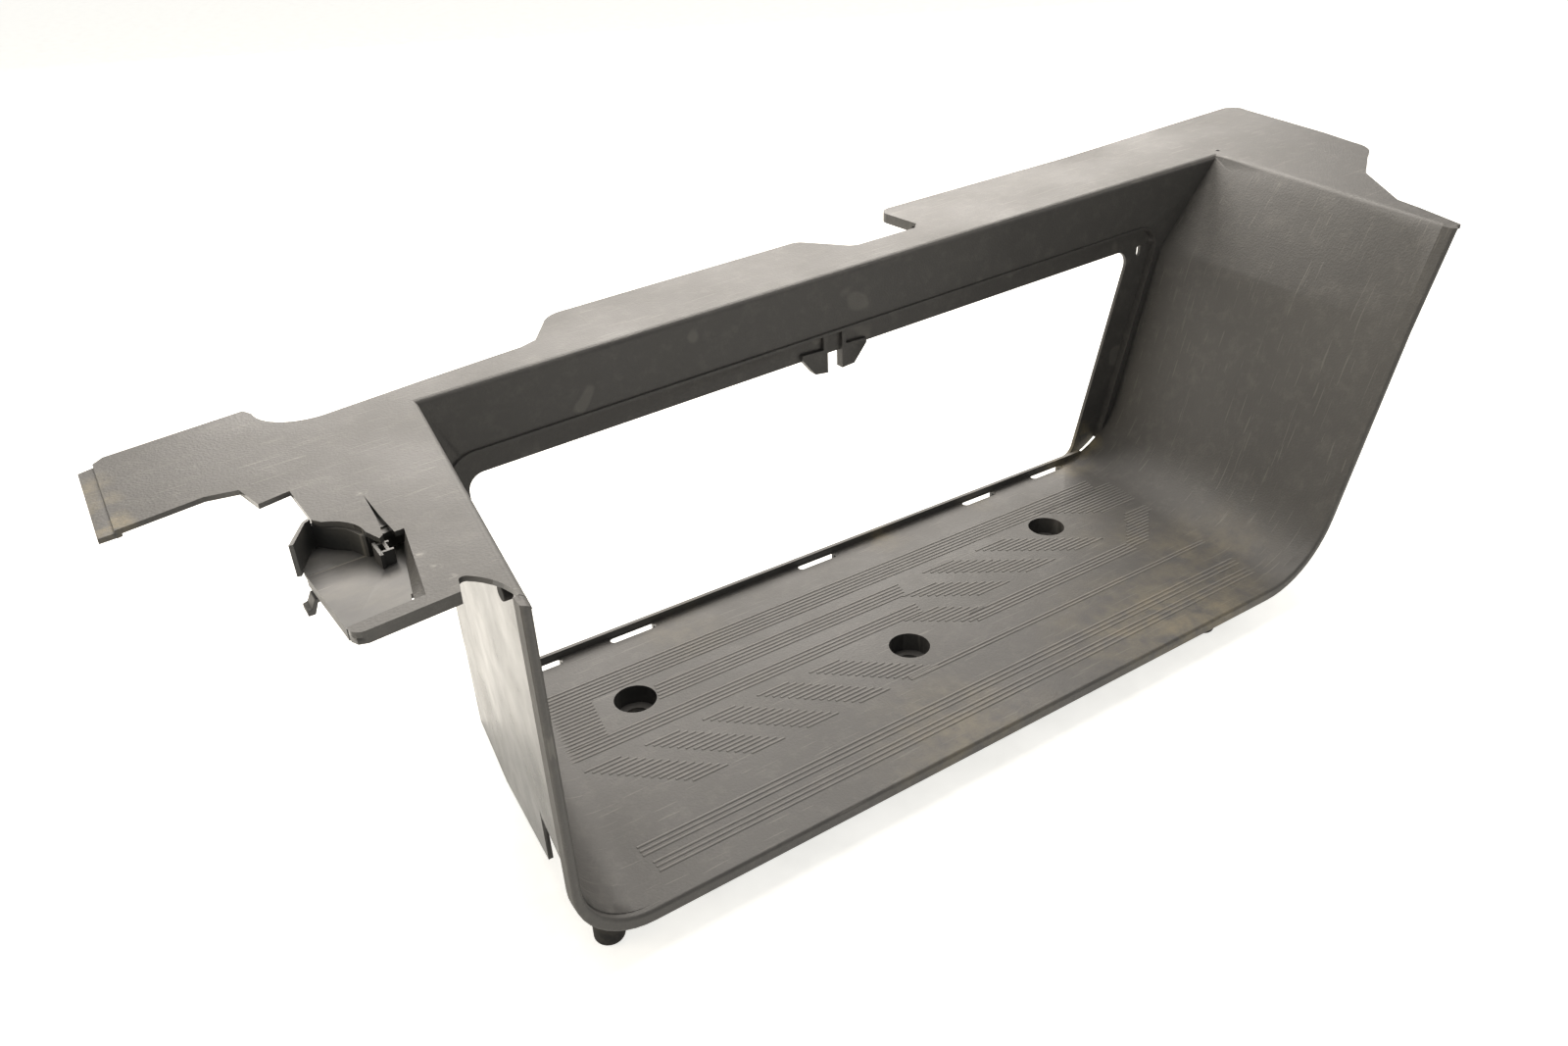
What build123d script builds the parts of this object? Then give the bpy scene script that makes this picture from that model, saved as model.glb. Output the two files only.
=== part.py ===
"""Entry step well trim: one grained panel with a ribbed tread, a riser opening and a top flange,
a smooth tray moulding at its left end, three screw sleeves, two rubber feet and two clips.

Working frame while modelling: X to the right, Y to the back, Z up, tread top at Z = 0, front edge of
the nose at Y = 0, X = 0 midway between the two outer screw cups. finish() moves it all so that the
origin is the bottom centre of the whole part's box.
"""

import math
import os

from build123d import *

# Panel wall and overall layout
WALL = 2.5
TREAD_DEPTH = 207.0           # nose to the upstand of the riser opening
FLOOR_DEPTH = 23.0            # tread top down to what the part stands on
FLANGE_HEIGHT = 192.0         # flange top above the tread, at X = 0
FLANGE_RISE = 0.0474          # flange climbs this much per mm towards +X
LEFT_FRONT_X = -256.0         # inner face of the left wall at the nose
LEFT_BACK_X = -230.0          # inner face of the left wall at the riser
RIGHT_FRONT_X = 252.0         # where the right wall would meet the tread at the nose
RIGHT_BACK_X = 283.0          # where the right wall would meet the tread at the riser
KNEE_HEIGHT = 150.0           # height at which the right wall starts to flare
FRONT_KNEE_OUT = 52.0         # right wall's lean from tread to knee, at the nose
BACK_KNEE_OUT = 40.0          # the same at the riser
FRONT_TOP_OUT = 76.0          # right wall's lean from tread to flange, at the nose
BACK_TOP_OUT = 92.0           # the same at the riser
LEFT_RADIUS = 32.0
RIGHT_RADIUS = 52.0
WELL_ROUND = 4.0              # edge between the flange top and the well's walls

# Rolled nose
NOSE_FRONT = 3.0
NOSE_LENGTH = 8.0
NOSE_SIDE = 4.2
NOSE_DROP = 7.5
NOSE_ROUND = 1.9

# Riser, its recess and its opening
RISER_BACK = 2.0              # riser face behind the upstand's face
RECESS_DEPTH = 4.0
BAND_HEIGHT = 38.0            # flange top down to the recess, at X = 0
RECESS_LEFT_X = -222.0
RECESS_RIGHT_X = 275.0        # right edge of the recess at tread level
RECESS_LEAN = 0.275
RECESS_RADIUS = 16.0
RIM_TOP = 14.0                # rim above the opening
RIM_SIDE = 21.0
OPENING_RADIUS = 10.0
UPSTAND_HEIGHT = 4.5
BEAD = 1.6

# Slots behind the tread and the hooks over the opening
SLOT_LENGTH = 31.0
SLOT_WIDTH = 5.5
SLOT_SETBACK = 3.2            # upstand's face to the middle of a slot
SLOT_LIP = 0.8                # thickness left above the relief behind a slot
SLOT_RELIEF = 14.0            # how far the relief runs back from the slot's middle
SLOT_CENTRES = (-194.5, -131.5, 7.5, 151.5, 219.0)
HOOK_GAP = 11.0
HOOK_CENTRE_X = 29.0
HOOK_LENGTH = 19.0
HOOK_DROP = 11.5
HOOK_THICKNESS = 3.0
EYE_LENGTH = 8.0
EYE_WIDTH = 3.6

# Screw cups and their sleeves
CUP_BORE = 24.6
CUP_SPACING = 321.0
CUP_Y = 145.0
MIDDLE_CUP_Y = 92.5
MIDDLE_CUP_X = -4.0
CUP_DEPTH = 12.0              # tread top to the cup's floor
CUP_FLOOR = 3.0
SLEEVE_OUTER = 14.0
SLEEVE_BORE = 8.4
SLEEVE_FLANGE = 20.0
SLEEVE_FLANGE_THICKNESS = 1.6

# Flange outline and tongue
TONGUE_STEP = 7.0             # width of the stepped-down tongue tip
TONGUE_DROP = 1.4
RETURN_DEPTH = 6.5
PIN_HOLE = 3.0

# Corner with the tray: a cut-out in the flange's left end, with a smooth tray set into it
CORNER_LEFT_X = -315.0
CORNER_FRONT_Y = 26.0
CORNER_ROUND = 5.0
CORNER_START = (CORNER_LEFT_X, CORNER_FRONT_Y + CORNER_ROUND)
CORNER_MIDDLE = (CORNER_LEFT_X + 0.3 * CORNER_ROUND, CORNER_FRONT_Y + 0.3 * CORNER_ROUND)
CORNER_END = (CORNER_LEFT_X + CORNER_ROUND, CORNER_FRONT_Y)
SEAM_Y = 33.0                 # front end of the tray, behind the flange's front strip
CORNER_SKIRT = 5.5            # depth of the front strip's edge
CHEEK_BACK = (-276.0, 88.0)   # flange edge beside the tray, at its back end
CHEEK_FRONT = (-285.0, 34.4)  # and at its front end
CHEEK_FALL = 10.3             # height of the cheek wall under that edge, at its back end
CHEEK_LEAN = 5.0              # how far it leans over the tray
CRACK_TIP = (-281.0, 128.0)
POCKET_DROP = 13.0            # pocket floor below the flange top
RAMP_BACK_Y = 101.0           # where the tray's ramp leaves the pocket floor
RAMP_DROP = 1.2               # ramp's front end below the flange top
TRAY_RIGHT_X = -272.0
TRAY_WALL = 2.0
TRAY_RIB = 1.4
TRAY_SIDE = 5.0
CLIP_Y = 97.0                 # back end of the hook under the tray's side

# Plug on the left wall
PLUG_Y = 26.0
PLUG_RADIUS = 3.6
PLUG_LENGTH = 4.0

FIT = 0.25                    # clearance between separate mouldings

# Underside ribs
RIB_THICKNESS = 2.0
RIB_DEPTH = 15.0

# Skirt under the left wall: full depth at the back, running out towards the nose
SKIRT_FULL_Y = 150.0
SKIRT_END_Y = 60.0

# Rubber feet
FOOT_DIAMETER = 15.0
FOOT_ROUND = 2.0
FOOT_X = (-240.0, 176.0)
FOOT_Y = 22.0

TALL = 320.0


def flange_plane(drop=0.0):
    """Plane lying in the flange top, or the given distance below it."""
    return Plane(
        origin=(0, 0, FLANGE_HEIGHT - drop),
        x_dir=(1, 0, FLANGE_RISE),
        z_dir=(-FLANGE_RISE, 0, 1),
    )


def flange_top(x):
    return FLANGE_HEIGHT + FLANGE_RISE * x


def above(drop=0.0):
    """Everything over the flange top, or over the given depth below it."""
    block = Box(1400, 900, TALL, align=(Align.CENTER, Align.CENTER, Align.MIN))
    return flange_plane(drop) * block


def slab(upper, lower):
    """A wide plate between two depths below the flange top."""
    block = Box(1400, 900, lower - upper, align=(Align.CENTER, Align.CENTER, Align.MAX))
    return flange_plane(upper) * block


def prism(points, low, high):
    """Straight-sided column over an XY outline."""
    return Pos(0, 0, low) * extrude(make_face(Polyline(*points, close=True)), high - low)


def xz_face(points, y, radii=None):
    """Closed XZ outline at one Y, with some of its corners rounded."""
    sharp = make_face(Polyline(*[(x, y, z) for x, z in points], close=True)).face()
    for (x, z), radius in (radii or {}).items():
        corner = sharp.vertices().sort_by_distance((x, y, z))[0]
        sharp = sharp.fillet_2d(radius, [corner])
    return sharp


def well_points(blend, grow):
    """Corners of the well at the nose (blend 0) or the riser (blend 1), pushed outwards by grow."""
    left = LEFT_FRONT_X + (LEFT_BACK_X - LEFT_FRONT_X) * blend
    foot = RIGHT_FRONT_X + (RIGHT_BACK_X - RIGHT_FRONT_X) * blend
    knee = foot + FRONT_KNEE_OUT + (BACK_KNEE_OUT - FRONT_KNEE_OUT) * blend
    top = foot + FRONT_TOP_OUT + (BACK_TOP_OUT - FRONT_TOP_OUT) * blend
    rim = FLANGE_HEIGHT + FLANGE_RISE * top
    flare = (top - knee) / (rim - KNEE_HEIGHT)
    lean = (knee - foot) / KNEE_HEIGHT
    side = grow * math.hypot(1, lean)
    upper = grow * math.hypot(1, flare)
    knee_z = KNEE_HEIGHT + (side - upper) / (flare - lean) if grow else KNEE_HEIGHT
    return [
        (left - grow, TALL),
        (left - grow, -grow),
        (foot + side - grow * lean, -grow),
        (foot + lean * knee_z + side, knee_z),
        (knee + flare * (TALL - KNEE_HEIGHT) + upper, TALL),
    ]


def well(y_front, y_back, grow):
    """The well's space, or its outside when grown by the wall, between two Y planes."""
    faces = []
    for y in (y_front, y_back):
        points = well_points(y / TREAD_DEPTH, grow)
        radii = {points[1]: LEFT_RADIUS + grow, points[2]: RIGHT_RADIUS + grow}
        faces.append(xz_face(points, y, radii))
    return loft(faces, ruled=True)


def recess_points(inset, bottom):
    """Recess outline in the riser, or the opening in it when inset, from a given bottom height."""
    side = RIM_SIDE if inset else 0.0
    top = BAND_HEIGHT + (RIM_TOP if inset else 0.0)
    left = RECESS_LEFT_X + (side / 2)
    low_right = RECESS_RIGHT_X + RECESS_LEAN * bottom - side
    rise = (flange_top(low_right) - top - bottom) / (1 - RECESS_LEAN * FLANGE_RISE)
    return [
        (left, bottom),
        (low_right, bottom),
        (low_right + RECESS_LEAN * rise, bottom + rise),
        (left, flange_top(left) - top),
    ]


def riser_prism(points, y_front, y_back, radius, corners=(1, 2, 3)):
    """Column through the riser with the given XZ outline."""
    radii = {points[i]: radius for i in corners}
    return extrude(xz_face(points, y_front, radii), y_back - y_front, dir=(0, 1, 0))


def flange_outline():
    """Plan of the flange, with its tongue, tabs, notch and the wide right-hand ear."""
    tip = -375.0
    with BuildLine() as edge:
        Polyline((tip, 171), (-338, 176), (-324, 172), (-320, 152), (-306, 155), (-305, 122), (-302, 117))
        ThreePointArc((-302, 117), (-294, 110), (-289.5, 96))
        Polyline((-289.5, 96), (-286.5, 87), (-284.5, 89), (-282.4, 105), CRACK_TIP)
        Polyline(CRACK_TIP, (-280.8, 105), (-280, 88), CHEEK_BACK, CHEEK_FRONT)
        Polyline(CHEEK_FRONT, (CORNER_LEFT_X, SEAM_Y), CORNER_START)
        ThreePointArc(CORNER_START, CORNER_MIDDLE, CORNER_END)
        Polyline(CORNER_END, (-274, 27.5), (-272, 35))
        ThreePointArc((-272, 35), (-270.5, 37), (-268.5, 36.5))
        ThreePointArc((-268.5, 36.5), (-261.5, 27), (-257.5, 12))
        Polyline((-257.5, 12), (LEFT_FRONT_X - WALL, NOSE_FRONT), (338, NOSE_FRONT + 2.5))
        Polyline((338, NOSE_FRONT + 2.5), (352, 40), (358, 58), (398, 106), (440, 132))
        ThreePointArc((440, 132), (454, 142), (461, 157))
        Polyline((461, 157), (473, 190), (500, 282))
        ThreePointArc((500, 282), (500, 294), (490, 298))
        Polyline((490, 298), (300, 288), (134, 288))
        ThreePointArc((134, 288), (125, 285), (122, 277))
        Polyline((122, 277), (122, 246), (116, 240), (72, 240))
        ThreePointArc((72, 240), (66, 242), (63, 246))
        Polyline((63, 246), (48, 270))
        ThreePointArc((48, 270), (45, 273), (40, 274))
        Polyline((40, 274), (-124, 272))
        ThreePointArc((-124, 272), (-132, 269), (-138, 262))
        Polyline((-138, 262), (-152, 241), (-162, 237), (-218, 232), (-272, 226))
        ThreePointArc((-272, 226), (-293, 234), (-301, 254))
        Polyline((-301, 254), (-304, 261), (-370, 254), (tip, 249), (tip, 171))
    return make_face(edge.line)


def column(face, low, high):
    return Pos(0, 0, low) * extrude(face, high - low)


def build_flange():
    """Top flange in its sloping plane, with the stepped-down tongue tip and a rear return."""
    outline = column(flange_outline(), 0, TALL)
    plate = outline & slab(0, WALL)
    step_x = -375.0
    tongue = prism([(step_x - TONGUE_STEP, 171), (step_x + WALL, 171.5), (step_x + WALL, 249),
                    (step_x - TONGUE_STEP, 246)], 0, TALL)
    tip = tongue & slab(TONGUE_DROP, TONGUE_DROP + WALL)
    riser = prism([(step_x, 171), (step_x + WALL, 171.5), (step_x + WALL, 249), (step_x, 249)], 0, TALL)
    joggle = riser & slab(0, TONGUE_DROP + WALL)
    lip = prism([(122, 250), (122, 288), (300, 288), (490, 298), (490, 298 - WALL), (300, 288 - WALL),
                 (134, 288 - WALL), (122 + WALL, 277), (122 + WALL, 250)], 0, TALL)
    rear_return = lip & slab(0, RETURN_DEPTH)
    hole = Pos(384, 216, 0) * Cylinder(PIN_HOLE / 2, 2 * TALL)
    return plate + tip + joggle + (rear_return & outline) - hole


def build_corner():
    """Edge under the corner's front strip, and the cheek wall between the flange and the tray."""
    inside_x = CORNER_LEFT_X + TRAY_WALL
    outer = [(CORNER_LEFT_X, SEAM_Y), CORNER_START, CORNER_MIDDLE, CORNER_END, (-274, 27.5), (-272.3, 34)]
    inner = [(-275.5, 34), (-276, 29.5), (inside_x + 4, CORNER_FRONT_Y + TRAY_WALL), (inside_x + 1, CORNER_FRONT_Y + 3),
             (inside_x, CORNER_FRONT_Y + CORNER_ROUND + 1), (inside_x, SEAM_Y)]
    edge = prism(outer + inner, 0, TALL) & slab(WALL / 2, CORNER_SKIRT)
    faces = []
    for (x, y), fall, lean in ((CHEEK_BACK, CHEEK_FALL, 3.0), (CHEEK_FRONT, RAMP_DROP - 0.1, CHEEK_LEAN)):
        points = [(x, -0.2), (x + TRAY_WALL, -0.2), (x + TRAY_WALL - lean, -fall), (x - lean, -fall)]
        faces.append(xz_face(points, y))
    return edge + flange_plane() * loft(faces, ruled=True)


def build_nose():
    """Rolled front edge that runs down the left wall, along the tread and up the right wall."""
    points = well_points(0, 0)
    outer = well_points(0, NOSE_SIDE)
    outer[1] = (outer[1][0], -NOSE_DROP)
    outer[2] = (outer[2][0], -NOSE_DROP)
    outer_radii = {outer[1]: LEFT_RADIUS + NOSE_SIDE, outer[2]: RIGHT_RADIUS + NOSE_DROP}
    inner_radii = {points[1]: LEFT_RADIUS, points[2]: RIGHT_RADIUS}
    low = NOSE_FRONT
    ring = extrude(xz_face(outer, low, outer_radii), NOSE_LENGTH, dir=(0, 1, 0))
    ring -= extrude(xz_face(points, low - 1, inner_radii), NOSE_LENGTH + 2, dir=(0, 1, 0))
    ring -= above(0)
    front = ring.faces().filter_by(Plane.XZ).sort_by(Axis.Y)[0]
    return fillet(front.edges().filter_by(lambda e: (e @ 0.5).Z < flange_top((e @ 0.5).X) - 1), NOSE_ROUND)


def build_riser(outside):
    """Band under the flange, the recessed rim around the opening and the bead between the two."""
    face_y = TREAD_DEPTH + RISER_BACK
    rim_y = face_y + RECESS_DEPTH
    inner = recess_points(False, 0.0)
    around = [(x + WALL * sx, z + WALL * sz) for (x, z), sx, sz in zip(inner, (-1, 1, 1, -1), (-1, -1, 1, 1))]
    lip = [(x + BEAD * sx, z + BEAD * sz) for (x, z), sx, sz in zip(inner, (-1, 1, 1, -1), (0, 0, 1, 1))]
    sheet = Box(1400, WALL, 2 * TALL, align=(Align.CENTER, Align.MIN, Align.CENTER))
    band = outside & Pos(0, face_y, 0) * sheet
    skin = outside & riser_prism(around, face_y, rim_y + WALL, RECESS_RADIUS + WALL, (2, 3))
    hollow = riser_prism(inner, face_y - 1, rim_y, RECESS_RADIUS, (2, 3))
    riser = band + skin - hollow
    bead = riser_prism(lip, face_y - BEAD, face_y, RECESS_RADIUS + BEAD, (2, 3))
    bead -= riser_prism(inner, face_y - BEAD - 1, face_y + 1, RECESS_RADIUS, (2, 3))
    opening = recess_points(True, 0.0)
    riser += bead
    return riser - riser_prism(opening, face_y - 20, rim_y + 20, OPENING_RADIUS)


def build_upstand():
    """Low wall at the back of the tread, on the ledge that carries the slots."""
    opening = recess_points(True, 0.0)
    left = opening[0][0] - RIM_SIDE / 2
    right = opening[1][0] + 4
    wall = Box(right - left, WALL, WALL + UPSTAND_HEIGHT, align=(Align.MIN, Align.MIN, Align.MIN))
    return Pos(left, TREAD_DEPTH, -WALL) * wall


def build_hooks():
    """Pair of hooked ribs that hang into the opening, either side of a gap."""
    rim_y = TREAD_DEPTH + RISER_BACK + RECESS_DEPTH
    hooks = []
    for side in (-1, 1):
        near = HOOK_CENTRE_X + side * HOOK_GAP / 2
        edge = flange_top(near) - BAND_HEIGHT - RIM_TOP
        points = [
            (near, edge + RIM_TOP),
            (near, edge - HOOK_DROP),
            (near + side * HOOK_LENGTH / 2, edge - HOOK_DROP + 1),
            (near + side * HOOK_LENGTH, edge + 1),
            (near + side * HOOK_LENGTH, edge + 4),
            (near + side * HOOK_THICKNESS, edge + 4),
            (near + side * HOOK_THICKNESS, edge + RIM_TOP),
        ]
        hooks.append(extrude(xz_face(points, rim_y - HOOK_THICKNESS), 2 * HOOK_THICKNESS, dir=(0, 1, 0)))
    return hooks


def cup_centres():
    half = CUP_SPACING / 2
    return [(-half, CUP_Y), (MIDDLE_CUP_X, MIDDLE_CUP_Y), (half, CUP_Y)]


def build_skirts(outside):
    """Walls under the tread that the part stands on: along the left end and under the riser."""
    depth = FLOOR_DEPTH - WALL
    rear = Box(RECESS_RIGHT_X - LEFT_BACK_X - 8, WALL, depth + 1, align=(Align.MIN, Align.MIN, Align.MAX))
    rear = Pos(LEFT_BACK_X, TREAD_DEPTH, -WALL + 1) * rear
    front_x = LEFT_FRONT_X - WALL
    slope = (LEFT_BACK_X - LEFT_FRONT_X) / TREAD_DEPTH
    back_y = TREAD_DEPTH + WALL
    corners = ((SKIRT_END_Y, 0), (back_y, 0), (back_y, WALL), (SKIRT_END_Y, WALL))
    strip = prism([(front_x + slope * y + push, y) for y, push in corners], -FLOOR_DEPTH, LEFT_RADIUS)
    profile = Plane(origin=(front_x, 0, 0), x_dir=(0, 1, 0), z_dir=(1, 0, 0)) * Polyline(
        (back_y, -FLOOR_DEPTH), (back_y, LEFT_RADIUS), (SKIRT_END_Y, LEFT_RADIUS), (SKIRT_END_Y, 0),
        (SKIRT_FULL_Y, -FLOOR_DEPTH), close=True)
    side = strip & extrude(make_face(profile), LEFT_BACK_X - LEFT_FRONT_X + 2 * WALL, dir=(1, 0, 0))
    space = well(0, TREAD_DEPTH + WALL, 0.5)
    return rear + (side - space)


def build_ribs():
    """Stiffening ribs across the underside of the tread."""
    ribs = []
    for x in (-206, -83, 78, 206):
        rib = Box(RIB_THICKNESS, TREAD_DEPTH - 22, RIB_DEPTH, align=(Align.CENTER, Align.MIN, Align.MAX))
        ribs.append(Pos(x, 22, -WALL + 0.5) * rib)
    for y in (58, 176):
        rib = Box(412 + RIB_THICKNESS, RIB_THICKNESS, RIB_DEPTH, align=(Align.CENTER, Align.CENTER, Align.MAX))
        ribs.append(Pos(0, y, -WALL + 0.5) * rib)
    return ribs


def build_panel():
    """The grained main moulding, as one solid."""
    start = NOSE_FRONT + NOSE_LENGTH / 2
    outside = well(start, TREAD_DEPTH + RISER_BACK + RECESS_DEPTH + WALL, WALL) - above(0)
    face_y = TREAD_DEPTH + RISER_BACK
    space = well(-20, face_y, 0)
    open_end = well(-20, face_y + WALL, 0)
    shell = outside & Box(1400, face_y, 2 * TALL, align=(Align.CENTER, Align.MIN, Align.CENTER))
    panel = shell - open_end
    panel += build_riser(outside)
    panel += build_flange() - space
    panel += build_corner()
    panel += build_nose()
    panel += build_upstand()
    panel += build_skirts(outside)
    for hook in build_hooks():
        panel += hook
    for rib in build_ribs():
        panel += rib
    for x, y in cup_centres():
        cup = Cylinder(CUP_BORE / 2 + WALL, FLOOR_DEPTH - 1, align=(Align.CENTER, Align.CENTER, Align.MIN))
        panel += Pos(x, y, -FLOOR_DEPTH) * cup
    for x, y in cup_centres():
        bore = Cylinder(CUP_BORE / 2, TALL, align=(Align.CENTER, Align.CENTER, Align.MIN))
        panel -= Pos(x, y, -CUP_DEPTH) * bore
        panel -= Pos(x, y, 0) * Cylinder(SLEEVE_OUTER / 2, 4 * FLOOR_DEPTH)
        panel -= Pos(x, y, -CUP_DEPTH - CUP_FLOOR - TALL / 2) * Cylinder(CUP_BORE / 2, TALL)
    for x in SLOT_CENTRES:
        slot = extrude(SlotOverall(SLOT_LENGTH, SLOT_WIDTH), 4 * WALL, both=True)
        panel -= Pos(x, TREAD_DEPTH - SLOT_SETBACK, 0) * slot
        relief = Box(SLOT_LENGTH, SLOT_RELIEF, FLOOR_DEPTH, align=(Align.CENTER, Align.MIN, Align.MAX))
        panel -= Pos(x, TREAD_DEPTH - SLOT_SETBACK, -SLOT_LIP) * relief
    eye_z = flange_top(RECESS_RIGHT_X) - BAND_HEIGHT - RECESS_RADIUS
    eye_x = RECESS_RIGHT_X + RECESS_LEAN * eye_z - RIM_SIDE / 2 - 1
    eye_plane = Plane(origin=(eye_x, TREAD_DEPTH, eye_z), x_dir=(0, 0, 1), z_dir=(0, 1, 0))
    eye = eye_plane * SlotOverall(EYE_LENGTH, EYE_WIDTH)
    panel -= extrude(eye, 20, dir=(0, 1, 0))
    return soften_well(panel)


def soften_well(panel):
    """Rounds the long edges where the flange top turns down into the well."""
    shortest = 150.0
    rim = []
    for edge in panel.edges():
        middle = edge @ 0.5
        in_top = abs(middle.Z - flange_top(middle.X)) < WALL / 50
        inside = abs(middle.X) < LEFT_FRONT_X * -1.6 and middle.Y < TREAD_DEPTH + 2 * RISER_BACK
        if in_top and inside and edge.length > shortest and middle.Y > NOSE_LENGTH:
            rim.append(edge)
    return panel.solids()[0].fillet(WELL_ROUND, rim)


def build_tray():
    """Smooth tray in the flange's corner: a pocket at the back, a ramp to the front and a back wall."""
    left = CORNER_LEFT_X - FIT
    front = SEAM_Y + FIT
    cheek_x = CHEEK_FRONT[0] - CHEEK_LEAN - 2 * FIT
    plan = prism([(left, front), (cheek_x, CHEEK_FRONT[1] + FIT), (cheek_x + 2, 43), (TRAY_RIGHT_X, 43.5),
                  (TRAY_RIGHT_X, RAMP_BACK_Y + 1), (left, RAMP_BACK_Y + 1)], 0, TALL)
    across = Plane(origin=(2 * left, 0, 0), x_dir=(0, 1, 0), z_dir=(1, 0, 0))
    top = [(front, -RAMP_DROP), (RAMP_BACK_Y, -POCKET_DROP), (RAMP_BACK_Y + 1, -POCKET_DROP)]
    for depth, area in ((TRAY_WALL, plan), (TRAY_SIDE, side_strip(left, front))):
        under = [(y, z - depth) for y, z in reversed(top)]
        ramp = extrude(make_face(across * Polyline(*(top + under), close=True)), -2 * left, dir=(1, 0, 0))
        piece = area & (flange_plane() * ramp)
        tray = piece if depth == TRAY_WALL else tray + piece

    floor_area = prism([(left, RAMP_BACK_Y), (left, 106), (-308, 120), (-304.5, 122), (-301, 115.5),
                        (-294, 108), (-291, RAMP_BACK_Y)], 0, TALL)
    tray += floor_area & slab(POCKET_DROP, POCKET_DROP + TRAY_WALL)
    rim = [(left - 1, 106), (-308, 120.8), (-305.4, 122.6)]
    outer = [(-306.2, 124.2), (-308.8, 122.4), (left - 2.8, 106.6)]
    tray += prism(rim + outer, 0, TALL) & slab(0, POCKET_DROP + TRAY_WALL)
    wall = [(-305.6, 122.4), (-301.5, 116.2), (-294.5, 109), (-290, 97), (-288, 97.6), (-292.8, 110.4),
            (-300, 118), (-304.6, 124.4), (-306.2, 124.2)]
    tray += prism(wall, 0, TALL) & slab(WALL + FIT, POCKET_DROP + TRAY_WALL)
    end = prism([(-290, 100.5), (TRAY_RIGHT_X, 100.5), (TRAY_RIGHT_X, 102), (-290, 102)], 0, TALL)
    tray += end & slab(WALL + FIT, POCKET_DROP + TRAY_WALL)
    web = prism([(-289, 96), (-274, 96), (-274, 133), (-289, 133)], 0, TALL)
    tray += web & slab(WALL + 4 * FIT, WALL + 4 * FIT + TRAY_WALL)
    ribs = [(x, y, x + TRAY_RIB, y + 12) for x, y in ((-289.5, 78), (-286, 80))]
    ribs += [(-289.5, y, -283.2, y + TRAY_RIB) for y in (80, 87)]
    for x0, y0, x1, y1 in ribs:
        tray += prism([(x0, y0), (x1, y0), (x1, y1), (x0, y1)], 0, TALL) & slab(WALL + FIT, POCKET_DROP)
    return tray


def side_strip(left, front):
    """Column over the tray's left edge, where its side wall hangs."""
    return prism([(left, front), (left + TRAY_WALL, front), (left + TRAY_WALL, RAMP_BACK_Y + 1),
                  (left, RAMP_BACK_Y + 1)], 0, TALL)


def build_sleeve(x, y):
    """Flanged sleeve pushed up into one cup's floor from below, to take the screw's clamp load."""
    height = FLOOR_DEPTH - CUP_DEPTH
    hang = (Align.CENTER, Align.CENTER, Align.MAX)
    body = Pos(0, 0, -CUP_DEPTH) * Cylinder(SLEEVE_OUTER / 2 - FIT, height, align=hang)
    flange = Cylinder(SLEEVE_FLANGE / 2, SLEEVE_FLANGE_THICKNESS, align=hang)
    body += Pos(0, 0, -CUP_DEPTH - CUP_FLOOR - FIT / 2) * flange
    body -= Cylinder(SLEEVE_BORE / 2, 4 * FLOOR_DEPTH)
    return Pos(x, y, 0) * body


def build_foot(x):
    """Rubber foot bonded under the tread, its top shaped to the underside it sits against."""
    pad = Cylinder(FOOT_DIAMETER / 2, 2 * FLOOR_DEPTH, align=(Align.CENTER, Align.CENTER, Align.MIN))
    pad = fillet(pad.edges().filter_by(GeomType.CIRCLE).sort_by(Axis.Z)[0], FOOT_ROUND)
    return Pos(x, FOOT_Y, -FLOOR_DEPTH) * pad - well(0, TREAD_DEPTH, WALL + FIT / 10)


def build_tray_clip():
    """Small sprung hook that hangs under the tray's left side."""
    left = CORNER_LEFT_X
    share = (CLIP_Y - SEAM_Y) / (RAMP_BACK_Y - SEAM_Y)
    top = flange_top(left) - RAMP_DROP - (POCKET_DROP - RAMP_DROP) * share - TRAY_SIDE - FIT
    profile = Plane(origin=(left, CLIP_Y, 0), x_dir=(1, 0, 0), z_dir=(0, -1, 0)) * Polyline(
        (-1, top), (3, top), (3, top - 2), (0, top - 2), (-2, top - 7), (-5, top - 7), (-5, top - 4.5),
        (-3, top - 4), close=True)
    return extrude(make_face(profile), 8, dir=(0, -1, 0))


def build_wall_clip():
    """Round plug on the outside of the left wall, just under the flange."""
    x = LEFT_FRONT_X + (LEFT_BACK_X - LEFT_FRONT_X) * PLUG_Y / TREAD_DEPTH - WALL
    centre = (x - 3 * FIT, PLUG_Y, flange_top(x) - WALL - PLUG_RADIUS - FIT)
    return extrude(Plane(origin=centre, x_dir=(0, 1, 0), z_dir=(-1, 0, 0)) * Circle(PLUG_RADIUS), PLUG_LENGTH)


def build_all():
    """Every separate piece, by node name."""
    parts = {"step_panel": build_panel(), "tray": build_tray()}
    for i, (x, y) in enumerate(cup_centres(), 1):
        parts[f"screw_sleeve_{i}"] = build_sleeve(x, y)
    for i, x in enumerate(FOOT_X, 1):
        parts[f"rubber_foot_{i}"] = build_foot(x)
    parts["tray_clip"] = build_tray_clip()
    parts["wall_plug"] = build_wall_clip()
    return parts


def finish(parts):
    """Move everything so that the origin is the bottom centre of the whole box, and write it."""
    boxes = [shape.bounding_box() for shape in parts.values()]
    low, high = (
        [pick(tuple(getattr(box, end))[axis] for box in boxes) for axis in range(3)]
        for pick, end in ((min, "min"), (max, "max"))
    )
    shift = Pos(-(low[0] + high[0]) / 2, -(low[1] + high[1]) / 2, -low[2])
    print("moved by", shift.position)
    os.makedirs("parts", exist_ok=True)
    for name, shape in parts.items():
        moved = shift * shape
        solids = moved.solids()
        export_step(solids[0] if len(solids) == 1 else Compound(solids), f"parts/{name}.step")


finish(build_all())
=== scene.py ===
import math

import bmesh
import bpy
from mathutils import Matrix, Vector


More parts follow.
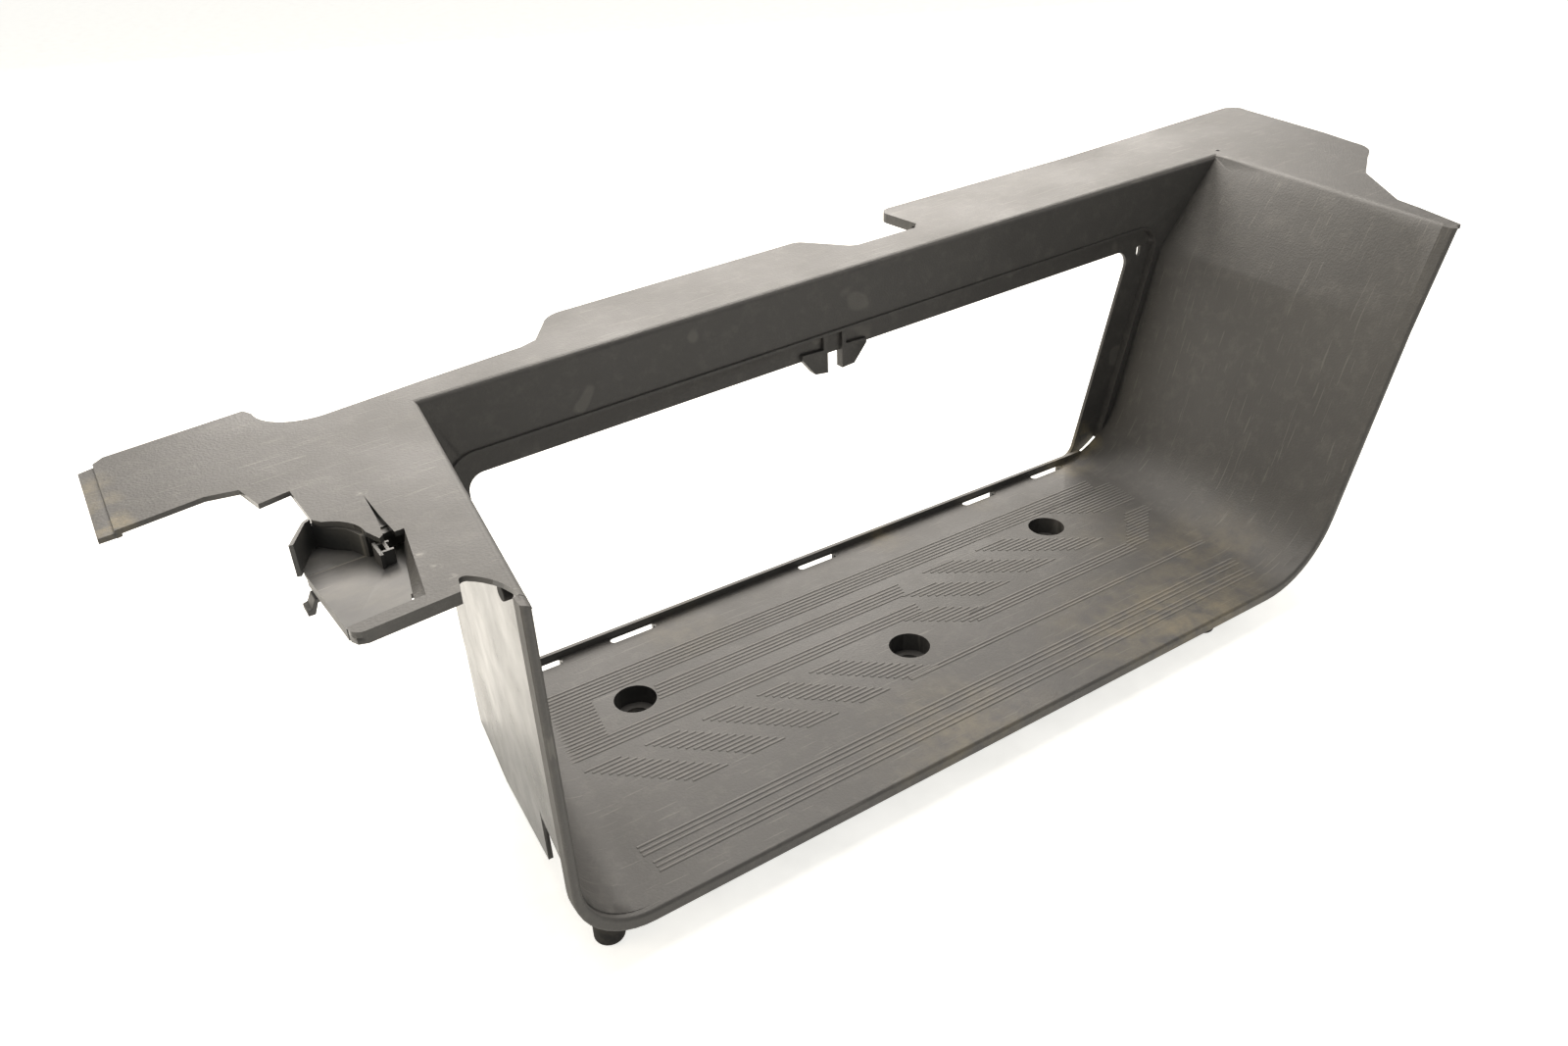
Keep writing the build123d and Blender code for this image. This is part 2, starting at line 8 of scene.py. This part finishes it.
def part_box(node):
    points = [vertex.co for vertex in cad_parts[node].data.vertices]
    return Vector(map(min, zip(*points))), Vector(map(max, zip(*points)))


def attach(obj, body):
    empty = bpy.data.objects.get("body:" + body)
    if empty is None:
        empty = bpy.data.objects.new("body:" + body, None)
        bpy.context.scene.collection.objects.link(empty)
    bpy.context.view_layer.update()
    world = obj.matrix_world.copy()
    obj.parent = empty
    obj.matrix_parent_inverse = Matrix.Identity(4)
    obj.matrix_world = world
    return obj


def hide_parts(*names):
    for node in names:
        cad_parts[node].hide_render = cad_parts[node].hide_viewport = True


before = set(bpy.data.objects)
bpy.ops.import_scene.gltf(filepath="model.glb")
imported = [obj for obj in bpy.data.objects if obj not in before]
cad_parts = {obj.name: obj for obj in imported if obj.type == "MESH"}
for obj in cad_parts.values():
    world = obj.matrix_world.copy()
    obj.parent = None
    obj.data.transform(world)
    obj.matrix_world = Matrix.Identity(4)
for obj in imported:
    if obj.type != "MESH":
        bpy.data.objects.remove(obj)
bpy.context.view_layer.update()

# ---------------------------------------------------------------------------------------------
# Step panel. The main moulding: charcoal polypropylene, injected in one shot. The side that is
# seen and trodden on has a fine leather grain, the back is smooth from the polished half of the
# mould, and years of boots have left dust, scuffs and pale scratches.
MM = 0.001
BODY = "root"
sleeves = [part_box(f"screw_sleeve_{i}") for i in (1, 2, 3)]
cups = [((lo[0] + hi[0]) / 2, (lo[1] + hi[1]) / 2) for lo, hi in sleeves]
TREAD_TOP = 23 * MM
WELL_TOP = TREAD_TOP + 185 * MM
CUPS_BEHIND_NOSE = 145 * MM
MID_X = (cups[0][0] + cups[2][0]) / 2
NOSE_Y = cups[0][1] - CUPS_BEHIND_NOSE
NOSE_BAND = NOSE_Y + 11 * MM


def place(x, y, z=0.0):
    """A point given in mm from the middle of the nose, at tread level, in the row frame."""
    return Vector((MID_X + x * MM, NOSE_Y + y * MM, TREAD_TOP + z * MM))


def linear(hex_colour):
    """Linear RGBA of an sRGB hex colour."""
    parts = [int(hex_colour[i:i + 2], 16) / 255 for i in (1, 3, 5)]
    return [c / 12.92 if c <= 0.04045 else ((c + 0.055) / 1.055) ** 2.4 for c in parts] + [1.0]


def add(tree, kind, inputs=None, **settings):
    """Adds a node, sets it up and feeds its inputs from values or other nodes' outputs."""
    node = tree.nodes.new(kind)
    for name, value in settings.items():
        setattr(node, name, value)
    for name, value in (inputs or {}).items():
        if isinstance(value, bpy.types.NodeSocket):
            tree.links.new(value, node.inputs[name])
        else:
            node.inputs[name].default_value = value
    return node


def new_material(name):
    """An empty material with an output, its tree and object coordinates."""
    material = bpy.data.materials.new(name)
    material.use_nodes = True
    tree = material.node_tree
    tree.nodes.clear()
    output = tree.nodes.new("ShaderNodeOutputMaterial")
    coords = tree.nodes.new("ShaderNodeTexCoord")
    return material, tree, output, coords.outputs["Object"]


def spot(tree, coords, centre, radius, soft):
    """1 inside a ball round a place on the object, fading to 0 over the soft distance."""
    away = add(tree, "ShaderNodeVectorMath", {0: coords, 1: centre}, operation="DISTANCE")
    return add(tree, "ShaderNodeMapRange", {"Value": away.outputs["Value"], "From Min": radius,
               "From Max": radius + soft, "To Min": 1.0, "To Max": 0.0}).outputs["Result"]


def times(tree, a, b):
    """The product of two values or sockets."""
    return add(tree, "ShaderNodeMath", {0: a, 1: b}, operation="MULTIPLY").outputs[0]


def mask(tree, coords, scale, low, high, detail=4.0, rough=0.6, stretch=(1, 1, 1)):
    """Noise turned into a 0 to 1 mask between two levels."""
    moved = add(tree, "ShaderNodeMapping", {"Vector": coords, "Scale": stretch})
    noise = add(tree, "ShaderNodeTexNoise", {"Vector": moved.outputs[0], "Scale": scale,
                "Detail": detail, "Roughness": rough})
    return add(tree, "ShaderNodeMapRange", {"Value": noise.outputs["Fac"], "From Min": low,
               "From Max": high}).outputs["Result"]


def mix(tree, factor, a, b):
    """Colour a at factor 0, turning to colour b at factor 1."""
    node = add(tree, "ShaderNodeMix", {"Factor": factor}, data_type="RGBA")
    for index, value in ((6, a), (7, b)):
        if isinstance(value, bpy.types.NodeSocket):
            tree.links.new(value, node.inputs[index])
        else:
            node.inputs[index].default_value = value
    return node.outputs[2]


def scratches(tree, coords, scale, turn, low):
    """Thin pale lines: the narrow crests of a strongly stretched, turned noise."""
    turned = add(tree, "ShaderNodeMapping", {"Vector": coords, "Rotation": turn,
                 "Scale": (1, 22, 1)})
    noise = add(tree, "ShaderNodeTexNoise", {"Vector": turned.outputs[0], "Scale": scale,
                "Detail": 1.0})
    return add(tree, "ShaderNodeMapRange", {"Value": noise.outputs["Fac"], "From Min": low,
               "From Max": low + 0.03}).outputs["Result"]


def coat(tree, output, colour, roughness, ior, height, strength, depth):
    """Wires up the surface: its colour and sheen, and a bump from a height."""
    bump = add(tree, "ShaderNodeBump", {"Height": height, "Strength": strength,
               "Distance": depth})
    shader = add(tree, "ShaderNodeBsdfPrincipled", {"Base Color": colour,
                 "Roughness": roughness, "IOR": ior, "Normal": bump.outputs["Normal"]})
    tree.links.new(shader.outputs[0], output.inputs["Surface"])


def dirt_patches():
    """Places where ochre dust lies: centre, radius, fading distance and strength."""
    tread = ((place(120, 22), 12, 60, 0.36), (place(222, 60), 8, 45, 0.28),
             (place(190, 110), 5, 40, 0.16))
    riser_foot = ((place(262, 211, 10), 6, 12, 0.95), (place(236, 205, 0), 5, 22, 0.6),
                  (place(150, 204, 0), 4, 18, 0.3), (place(60, 204, 0), 4, 20, 0.35),
                  (place(-105, 190, 0), 6, 30, 0.22))
    left_lip = ((place(-379, 182, 173), 5, 9, 0.8), (place(-379, 204, 173), 5, 9, 0.6),
                (place(-379, 226, 173), 5, 9, 0.5), (place(-374, 174, 174), 3, 7, 0.8))
    nose = ((place(-30, 8, -3), 8, 60, 0.35), (place(170, 8, -3), 8, 60, 0.4))
    return tread + riser_foot + left_lip + nose


def grained_plastic(name, dark, pale):
    """Grained polypropylene: soft sheen, greyed by dust where feet and damp reach."""
    material, tree, output, coords = new_material(name)
    cloud = mask(tree, coords, 14.0, 0.3, 0.75, 7.0, 0.65)
    colour = mix(tree, cloud, linear(dark), linear(pale))
    chalk = times(tree, mask(tree, coords, 85.0, 0.5, 0.75, 8.0, 0.75), 0.22)
    colour = mix(tree, chalk, colour, linear("#85827c"))
    fine = times(tree, scratches(tree, coords, 34.0, (0.3, 0.2, 0.6), 0.70), 0.26)
    colour = mix(tree, fine, colour, linear("#8c8983"))
    cross = times(tree, scratches(tree, coords, 27.0, (0.5, 0.9, -0.7), 0.71), 0.22)
    colour = mix(tree, cross, colour, linear("#8c8983"))
    for centre, radius, soft, strength in dirt_patches():
        patch = times(tree, spot(tree, coords, centre, radius * MM, soft * MM),
                      mask(tree, coords, 60.0, 0.38, 0.66, 6.0, 0.7))
        colour = mix(tree, times(tree, patch, strength), colour, linear("#93886c"))
    for centre in (place(-281, 131, 178.6), place(-278, 64, 178.8), place(-275, 51, 179),
                   place(-272.5, 39, 179)):
        stress = times(tree, spot(tree, coords, centre, 0.5 * MM, 3 * MM),
                       mask(tree, coords, 420.0, 0.45, 0.65))
        colour = mix(tree, times(tree, stress, 0.35), colour, linear("#b5b2ac"))
    grain = add(tree, "ShaderNodeTexVoronoi", {"Vector": coords, "Scale": 780.0},
                feature="SMOOTH_F1")
    grit = add(tree, "ShaderNodeTexNoise", {"Vector": coords, "Scale": 900.0, "Detail": 3.0})
    height = add(tree, "ShaderNodeMath", {0: grain.outputs["Distance"], 1: grit.outputs["Fac"]},
                 operation="ADD")
    wear = mask(tree, coords, 14.0, 0.3, 0.75)
    rough = add(tree, "ShaderNodeMapRange", {"Value": wear, "To Min": 0.46, "To Max": 0.60})
    coat(tree, output, colour, rough.outputs["Result"], 1.5, height.outputs[0], 0.42, 0.25 * MM)
    return material


def smooth_plastic(name, shiniest, dullest):
    """The same plastic without the grain: flow waves, a few rubs and dust, more or less glossy."""
    material, tree, output, coords = new_material(name)
    colour = mix(tree, mask(tree, coords, 12.0, 0.4, 0.7), linear("#3a3a3b"), linear("#444443"))
    rubs = times(tree, scratches(tree, coords, 14.0, (0.2, 1.1, 0.4), 0.72), 0.5)
    colour = mix(tree, rubs, colour, linear("#8a877f"))
    dust = times(tree, mask(tree, coords, 30.0, 0.45, 0.75, 6.0, 0.7), 0.25)
    colour = mix(tree, dust, colour, linear("#8d887a"))
    wave = add(tree, "ShaderNodeTexNoise", {"Vector": coords, "Scale": 40.0, "Detail": 3.0})
    rough = add(tree, "ShaderNodeMapRange", {"Value": mask(tree, coords, 25.0, 0.3, 0.7),
                "To Min": shiniest, "To Max": dullest})
    coat(tree, output, colour, rough.outputs["Result"], 1.62, wave.outputs["Fac"], 0.05, 1 * MM)
    return material


GRAINED = grained_plastic("charcoal polypropylene, leather grain", "#4b4a49", "#565553")
SMOOTH = smooth_plastic("charcoal polypropylene, polished back", 0.16, 0.30)


WELD = 0.01 * MM
FLAT_ANGLE = math.radians(0.6)


def merged_copy(node, name):
    """A welded copy of a CAD node's mesh, as a new object in its place."""
    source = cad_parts[node]
    mesh = source.data.copy()
    mesh.transform(source.matrix_world)
    work = bmesh.new()
    work.from_mesh(mesh)
    bmesh.ops.remove_doubles(work, verts=work.verts, dist=WELD)
    bmesh.ops.dissolve_limit(work, angle_limit=FLAT_ANGLE, verts=work.verts, edges=work.edges)
    work.to_mesh(mesh)
    work.free()
    mesh.materials.clear()
    piece = bpy.data.objects.new(name, mesh)
    bpy.context.scene.collection.objects.link(piece)
    return piece


EDGE_ANGLE = math.radians(28)


def soften(piece, width):
    """Rounds the hard edges by a moulding's small radius and shades the rest smooth."""
    bevel = piece.modifiers.new("edge radius", "BEVEL")
    bevel.width = width
    bevel.segments = 3
    bevel.limit_method = "ANGLE"
    bevel.angle_limit = EDGE_ANGLE
    bevel.use_clamp_overlap = True
    bevel.harden_normals = True
    for polygon in piece.data.polygons:
        polygon.use_smooth = True
    piece.data.set_sharp_from_angle(angle=EDGE_ANGLE)


panel = merged_copy("step_panel", "panel")
panel.data.materials.append(GRAINED)
panel.data.materials.append(SMOOTH)
# A face is grained on the nose, and where its normal leans this far up, inwards or forwards.
LEAN_UP, LEAN_IN, LEAN_FORWARD = 0.2, 0.3, 0.4
for polygon in panel.data.polygons:
    n, c = polygon.normal, polygon.center
    left_wall = c.x < MID_X and n.x > LEAN_IN and c.z < WELL_TOP
    right_wall = c.x > MID_X and n.x < -LEAN_IN
    riser = n.y < -LEAN_FORWARD and n.z > -LEAN_FORWARD and c.z > TREAD_TOP - 1 * MM
    grained = c.y < NOSE_BAND or n.z > LEAN_UP or left_wall or right_wall or riser
    polygon.material_index = 0 if grained else 1
soften(panel, 0.9 * MM)
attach(panel, BODY)
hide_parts("step_panel")

# ---------------------------------------------------------------------------------------------
# Tread ribs. Low half-round ribs moulded into the tread, in slanted patches, bands and long runs
# that grip the sole and shed grit. They are the panel's own plastic, given a paler colour as a
# painted highlight on the rib crests, and each run is a row of straight bars along the step.
# The ribs' paler colours are a painted highlight on the rib crests.
RIB_PAINTED_HIGHLIGHT = grained_plastic("charcoal polypropylene, paler as painted rib highlight", "#646361", "#757370")
RIB_RADIUS = 1.25 * MM
RIB_HEIGHT = 0.42 * MM


def rib_tree():
    """Rows of bars: each next bar lies one pitch nearer the nose and is shifted by the slant."""
    tree = bpy.data.node_groups.new("rib rows", "GeometryNodeTree")
    face = tree.interface
    sizes = {"Count": "NodeSocketInt", "Pitch": "NodeSocketFloat", "Slant": "NodeSocketFloat",
             "Length": "NodeSocketFloat", "Radius": "NodeSocketFloat", "Start": "NodeSocketVector",
             "Material": "NodeSocketMaterial"}
    for name, kind in sizes.items():
        face.new_socket(name, in_out="INPUT", socket_type=kind)
    face.new_socket("Geometry", in_out="OUTPUT", socket_type="NodeSocketGeometry")
    given = tree.nodes.new("NodeGroupInput").outputs
    back = add(tree, "ShaderNodeMath", {0: given["Pitch"], 1: -1.0}, operation="MULTIPLY")
    step = add(tree, "ShaderNodeCombineXYZ", {"X": given["Slant"], "Y": back.outputs[0]})
    row = add(tree, "GeometryNodeMeshLine", {"Count": given["Count"],
              "Start Location": given["Start"], "Offset": step.outputs[0]})
    bar = add(tree, "GeometryNodeMeshCylinder", {"Vertices": 10, "Radius": given["Radius"],
              "Depth": given["Length"]})
    half = add(tree, "ShaderNodeMath", {0: given["Length"], 1: 0.5}, operation="MULTIPLY")
    aside = add(tree, "ShaderNodeCombineXYZ", {"X": half.outputs[0]})
    laid = add(tree, "GeometryNodeTransform", {"Geometry": bar.outputs["Mesh"],
               "Rotation": (0.0, math.pi / 2, 0.0), "Translation": aside.outputs[0]})
    rows = add(tree, "GeometryNodeInstanceOnPoints", {"Points": row.outputs["Mesh"],
               "Instance": laid.outputs["Geometry"]})
    solid = add(tree, "GeometryNodeRealizeInstances", {"Geometry": rows.outputs["Instances"]})
    painted = add(tree, "GeometryNodeSetMaterial", {"Geometry": solid.outputs[0],
                  "Material": given["Material"]})
    out = tree.nodes.new("NodeGroupOutput")
    tree.links.new(painted.outputs[0], out.inputs["Geometry"])
    return tree


RIB_ROWS = rib_tree()


def grown(tree, name, **values):
    """Runs a node tree once on an empty object and returns its result as a plain mesh."""
    holder = bpy.data.objects.new(name, bpy.data.meshes.new(name))
    bpy.context.scene.collection.objects.link(holder)
    modifier = holder.modifiers.new("rows", "NODES")
    modifier.node_group = tree
    for item in tree.interface.items_tree:
        if item.in_out == "INPUT":
            modifier[item.identifier] = values[item.name]
    bpy.context.view_layer.update()
    graph = bpy.context.evaluated_depsgraph_get()
    mesh = bpy.data.meshes.new_from_object(holder.evaluated_get(graph))
    bpy.data.objects.remove(holder)
    return mesh


def joined(name, meshes):
    """One object made of several plain meshes."""
    work = bmesh.new()
    for mesh in meshes:
        work.from_mesh(mesh)
    whole = bpy.data.meshes.new(name)
    work.to_mesh(whole)
    work.free()
    for material in meshes[0].materials:
        whole.materials.append(material)
    piece = bpy.data.objects.new(name, whole)
    bpy.context.scene.collection.objects.link(piece)
    return piece


def ribs(x, y, length, count, slant=0.0, pitch=3.0):
    """A row of ribs from its back left end, in mm on the tread."""
    start = place(x, y) - Vector((0, 0, RIB_RADIUS - RIB_HEIGHT))
    return grown(RIB_ROWS, "rib rows", Count=count, Pitch=pitch * MM, Slant=slant * MM,
                 Length=length * MM, Radius=RIB_RADIUS, Start=start, Material=RIB_PAINTED_HIGHLIGHT)


# Bands behind the cups and round the left one.
rows = [ribs(-205, 175, 436, 6, -0.9), ribs(-212, 157, 30, 11, -0.5)]
rows.append(ribs(-216, 125, 243, 4, -0.6))
rows.append(ribs(-146, 149, 178, 5, -0.8))
# Slanted patches along the middle, from left to right.
for patch in range(5):
    rows.append(ribs(-210.5 + 35.8 * patch, 106, 21, 14, 3.3))
rows.append(ribs(-24, 68.5, 260, 2, 0.0, 2.6))
rows.append(ribs(10, 114, 26, 9, 3.9))
rows.append(ribs(46, 96, 141, 4, 0.0, 2.8))
rows.append(ribs(26, 136, 27, 10, 4.3))
rows.append(ribs(54, 150, 26, 14, 4.2))
rows.append(ribs(100, 150, 26, 14, 4.1))
# Round the right cup.
rows.append(ribs(168, 163, 79, 3, 4.0))
rows.append(ribs(180, 154, 66, 7, 4.1))
rows.append(ribs(216, 124, 32, 3, -3.6))
rows.append(ribs(208, 115, 22, 9, -3.4))
# Long runs behind the nose.
rows.append(ribs(-213, 42, 448, 3, 0.0, 3.2))
rows.append(ribs(-211, 29, 440, 3, 0.0, 3.2))
tread_ribs = joined("tread_ribs", rows)
for polygon in tread_ribs.data.polygons:
    polygon.use_smooth = True
tread_ribs.data.set_sharp_from_angle(angle=math.radians(50))
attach(tread_ribs, BODY)

# ---------------------------------------------------------------------------------------------
# Tray. A separate smooth moulding of the same plastic, clipped into the cut-out at the flange's
# left end, with a ramp, a curved back wall and a small hook under its side.
SATIN = smooth_plastic("charcoal polypropylene, satin", 0.40, 0.52)
tray = merged_copy("tray", "end_tray")
tray.data.materials.append(SATIN)
soften(tray, 0.6 * MM)
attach(tray, BODY)
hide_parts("tray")
tray_hook = merged_copy("tray_clip", "tray_hook")
tray_hook.data.materials.append(SATIN)
soften(tray_hook, 0.4 * MM)
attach(tray_hook, BODY)
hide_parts("tray_clip")

# ---------------------------------------------------------------------------------------------
# Screw sleeves. Black glass-filled nylon inserts, moulded apart and pushed up into the three
# cups, with a rim that takes the screw's head. Grime gathers round them.
def black_nylon():
    """Dark, slightly shiny nylon with brown grime in patches."""
    material, tree, output, coords = new_material("black glass-filled nylon, moulded")
    colour = mix(tree, mask(tree, coords, 120.0, 0.4, 0.7), linear("#161514"), linear("#2c2925"))
    fibre = add(tree, "ShaderNodeTexNoise", {"Vector": coords, "Scale": 600.0, "Detail": 2.0})
    coat(tree, output, colour, 0.35, 1.53, fibre.outputs["Fac"], 0.2, 0.1 * MM)
    return material


NYLON = black_nylon()
for i in (1, 2, 3):
    sleeve = merged_copy(f"screw_sleeve_{i}", f"sleeve_{i}")
    sleeve.data.materials.append(NYLON)
    soften(sleeve, 0.3 * MM)
    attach(sleeve, BODY)
    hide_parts(f"screw_sleeve_{i}")

# ---------------------------------------------------------------------------------------------
# Rubber feet and the plug on the left wall. Black rubber, pressed in a mould, with rounded rims.
# The feet carry the nose of the step, and the plug closes a hole in the wall. Dust clings to all.
def dusty_rubber():
    """Dull black rubber, greyed by dust."""
    material, tree, output, coords = new_material("black rubber, dusty")
    dust = mask(tree, coords, 200.0, 0.4, 0.7, 6.0)
    colour = mix(tree, dust, linear("#1c1b1a"), linear("#3a3631"))
    grit = add(tree, "ShaderNodeTexNoise", {"Vector": coords, "Scale": 700.0, "Detail": 4.0})
    coat(tree, output, colour, 0.75, 1.5, grit.outputs["Fac"], 0.4, 0.2 * MM)
    return material


RUBBER = dusty_rubber()
for node in ("rubber_foot_1", "rubber_foot_2", "wall_plug"):
    foot = merged_copy(node, f"{node}_seen")
    foot.data.materials.append(RUBBER)
    soften(foot, 0.5 * MM)
    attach(foot, BODY)
    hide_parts(node)

# ---------------------------------------------------------------------------------------------
# Studio. A wide pale floor that fades into the background, three soft lamps and the camera. The
# floor glows a little more to the camera than to the object, so it stays white behind it.
def pale_surface(name, tint):
    """A mottled matt surface that also glows."""
    material, tree, output, coords = new_material(name)
    mottle = mask(tree, coords, 30.0, 0.4, 0.75, 8.0, 0.7)
    mottled = mix(tree, mottle, linear(tint), linear("#ecebe7"))
    lit = add(tree, "ShaderNodeBsdfDiffuse", {"Color": mottled})
    path = add(tree, "ShaderNodeLightPath")
    strength = add(tree, "ShaderNodeMapRange", {"Value": path.outputs["Is Camera Ray"],
                   "To Min": 0.40, "To Max": 0.85})
    glow = add(tree, "ShaderNodeEmission", {"Color": mottled,
               "Strength": strength.outputs["Result"]})
    seen = add(tree, "ShaderNodeAddShader", {0: lit.outputs[0], 1: glow.outputs[0]})
    tree.links.new(seen.outputs[0], output.inputs["Surface"])
    return material


def board(name, corners, material):
    """A flat sheet with four corners."""
    mesh = bpy.data.meshes.new(name)
    mesh.from_pydata(corners, [], [(0, 1, 2, 3)])
    mesh.materials.append(material)
    made = bpy.data.objects.new(name, mesh)
    bpy.context.scene.collection.objects.link(made)
    return made


FLOOR = pale_surface("painted board, pale", "#f6f5f1")
REACH = 14.0
UNDER = -0.3 * MM
floor = board("floor", [(x * REACH, y * REACH, UNDER)
                        for x, y in ((-1, -1), (1, -1), (1, 1), (-1, 1))], FLOOR)


def lamp(name, at, towards, size, power, tint):
    """A soft rectangular lamp, aimed at a point."""
    data = bpy.data.lights.new(name, "AREA")
    data.shape = "RECTANGLE"
    data.size, data.size_y = size
    data.energy = power
    data.color = linear(tint)[:3]
    lit = bpy.data.objects.new(name, data)
    lit.location = at
    lit.rotation_euler = (Vector(towards) - Vector(at)).to_track_quat("-Z", "Y").to_euler()
    bpy.context.scene.collection.objects.link(lit)
    return lit


key = lamp("back softbox", (0.9, 2.0, 1.5), (0, 0, 0.1), (3.0, 1.5), 95, "#fff8ef")
top = lamp("ceiling softbox", (0.0, 0.5, 2.0), (0, 0, 0), (1.8, 1.2), 30, "#fff8ef")
side = lamp("left softbox", (-1.9, 0.5, 0.8), (-0.1, 0, 0.1), (1.4, 1.2), 10, "#fff0d6")

world = bpy.data.worlds.new("studio")
bpy.context.scene.world = world
world.use_nodes = True
sky = world.node_tree.nodes["Background"].inputs
sky["Color"].default_value = linear("#f4f3ef")
sky["Strength"].default_value = 0.28

TURN, DIP, TILT = math.radians(32.52), math.radians(29.82), math.radians(-2.43)
forward = Vector((math.sin(TURN) * math.cos(DIP), math.cos(TURN) * math.cos(DIP), -math.sin(DIP)))
level = Vector((math.cos(TURN), -math.sin(TURN), 0))
upward = level.cross(forward)
across = math.cos(TILT) * level + math.sin(TILT) * upward
up = -math.sin(TILT) * level + math.cos(TILT) * upward
lens = bpy.data.cameras.new("camera")
lens.sensor_width = 36.0
lens.lens = 26.71
lens.clip_start = 0.02
camera = bpy.data.objects.new("camera", lens)
turn = Matrix((across, up, -forward)).transposed().to_4x4()
camera.matrix_world = Matrix.Translation(place(-368, -345, 411.4)) @ turn
bpy.context.scene.collection.objects.link(camera)
bpy.context.scene.camera = camera
bpy.context.scene.view_settings.view_transform = "Standard"
